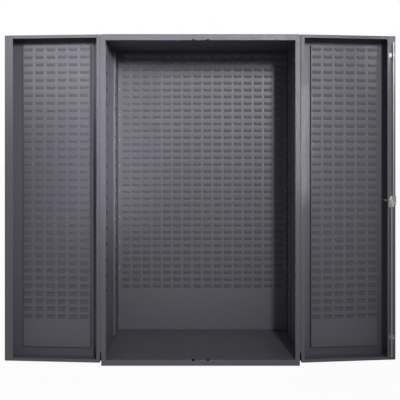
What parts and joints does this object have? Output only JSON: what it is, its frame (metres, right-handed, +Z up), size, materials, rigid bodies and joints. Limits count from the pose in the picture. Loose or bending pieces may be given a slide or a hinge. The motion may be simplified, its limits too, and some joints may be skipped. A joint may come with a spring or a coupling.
{
  "type": "storage cabinet",
  "caption": "Tall welded steel storage cabinet with deep box doors open, louvred bin panels on the back and in the doors, full-length hinges and a rod latch.",
  "frame": {"origin": "on the floor, at the middle of the cabinet body's width and depth", "axes": "+X to the right seen from the open front, +Y to the back, +Z up; the front frame faces -Y"},
  "size_m": [2.4649, 0.5136, 2.032],
  "materials": {
    "powder_coat": "dark grey semi-gloss powder coat with a fine orange peel",
    "zinc_plate": "bright zinc plate",
    "handle_chrome": "satin chrome",
    "lock_brass": "satin brass"
  },
  "bodies": {
    "cabinet": {"left_side_panel": "powder_coat", "right_side_panel": "powder_coat", "back_panel": "powder_coat", "top_panel": "powder_coat", "floor_panel": "powder_coat", "left_floor_angle": "powder_coat", "right_floor_angle": "powder_coat", "rear_floor_angle": "powder_coat", "left_floor_stiffener": "powder_coat", "middle_floor_stiffener": "powder_coat", "right_floor_stiffener": "powder_coat", "back_louvre_panel": "powder_coat", "left_corner_rivets": "zinc_plate", "right_corner_rivets": "zinc_plate", "floor_rivets": "zinc_plate", "left_hinge_body_leaf": "powder_coat", "right_hinge_body_leaf": "powder_coat", "left_hinge_pin": "zinc_plate", "right_hinge_pin": "zinc_plate", "left_front_upright": "powder_coat", "left_rear_upright": "powder_coat", "right_front_upright": "powder_coat", "right_rear_upright": "powder_coat"},
    "left_door": {"left_door_shell": "powder_coat", "left_door_louvre_panel": "powder_coat", "left_hinge_door_leaf": "powder_coat"},
    "right_door": {"right_door_shell": "powder_coat", "right_door_louvre_panel": "powder_coat", "right_hinge_door_leaf": "powder_coat", "door_astragal": "powder_coat", "spindle_bush": "zinc_plate", "top_rod_guide": "zinc_plate", "bottom_rod_guide": "zinc_plate", "guide_rivets": "zinc_plate", "handle_escutcheon": "handle_chrome"},
    "handle": {"handle_lever": "handle_chrome", "latch_spindle": "zinc_plate", "latch_cam": "zinc_plate", "crank_pins": "zinc_plate", "cam_washer": "zinc_plate", "cam_nut": "zinc_plate"},
    "top_rod": {"top_latch_rod": "zinc_plate"},
    "bottom_rod": {"bottom_latch_rod": "zinc_plate"},
    "lock": {"lock_plug": "lock_brass"}
  },
  "joints": [
    {"name": "left_door_hinge", "type": "hinge", "parent": "cabinet", "child": "left_door", "pos_m": [-0.614, -0.2556, 1.016], "axis": [0, 0, 1], "range_deg": [-1.5, 183]},
    {"name": "right_door_hinge", "type": "hinge", "parent": "cabinet", "child": "right_door", "pos_m": [0.614, -0.2556, 1.016], "axis": [0, 0, -1], "range_deg": [-0.2, 184.5]},
    {"name": "handle_turn", "type": "hinge", "parent": "right_door", "child": "handle", "pos_m": [1.1871, -0.20889, 1.004], "axis": [0.0785, -0.9969, 0], "range_deg": [0, 90]},
    {"name": "top_rod_slide", "type": "slide", "parent": "right_door", "child": "top_rod", "axis": [0, 0, 1], "range_m": [0, 0.02546]},
    {"name": "bottom_rod_slide", "type": "slide", "parent": "right_door", "child": "bottom_rod", "axis": [0, 0, -1], "range_m": [0, 0.02546]},
    {"name": "lock_plug_turn", "type": "hinge", "parent": "handle", "child": "lock", "pos_m": [1.1871, -0.20889, 1.004], "axis": [-0.0785, 0.9969, 0], "range_deg": [0, 90]}
  ],
  "couplings": [
    {"joint": "top_rod_slide", "follows": "handle_turn", "m_per_rad": 0.016206},
    {"joint": "bottom_rod_slide", "follows": "handle_turn", "m_per_rad": 0.016206}
  ]
}
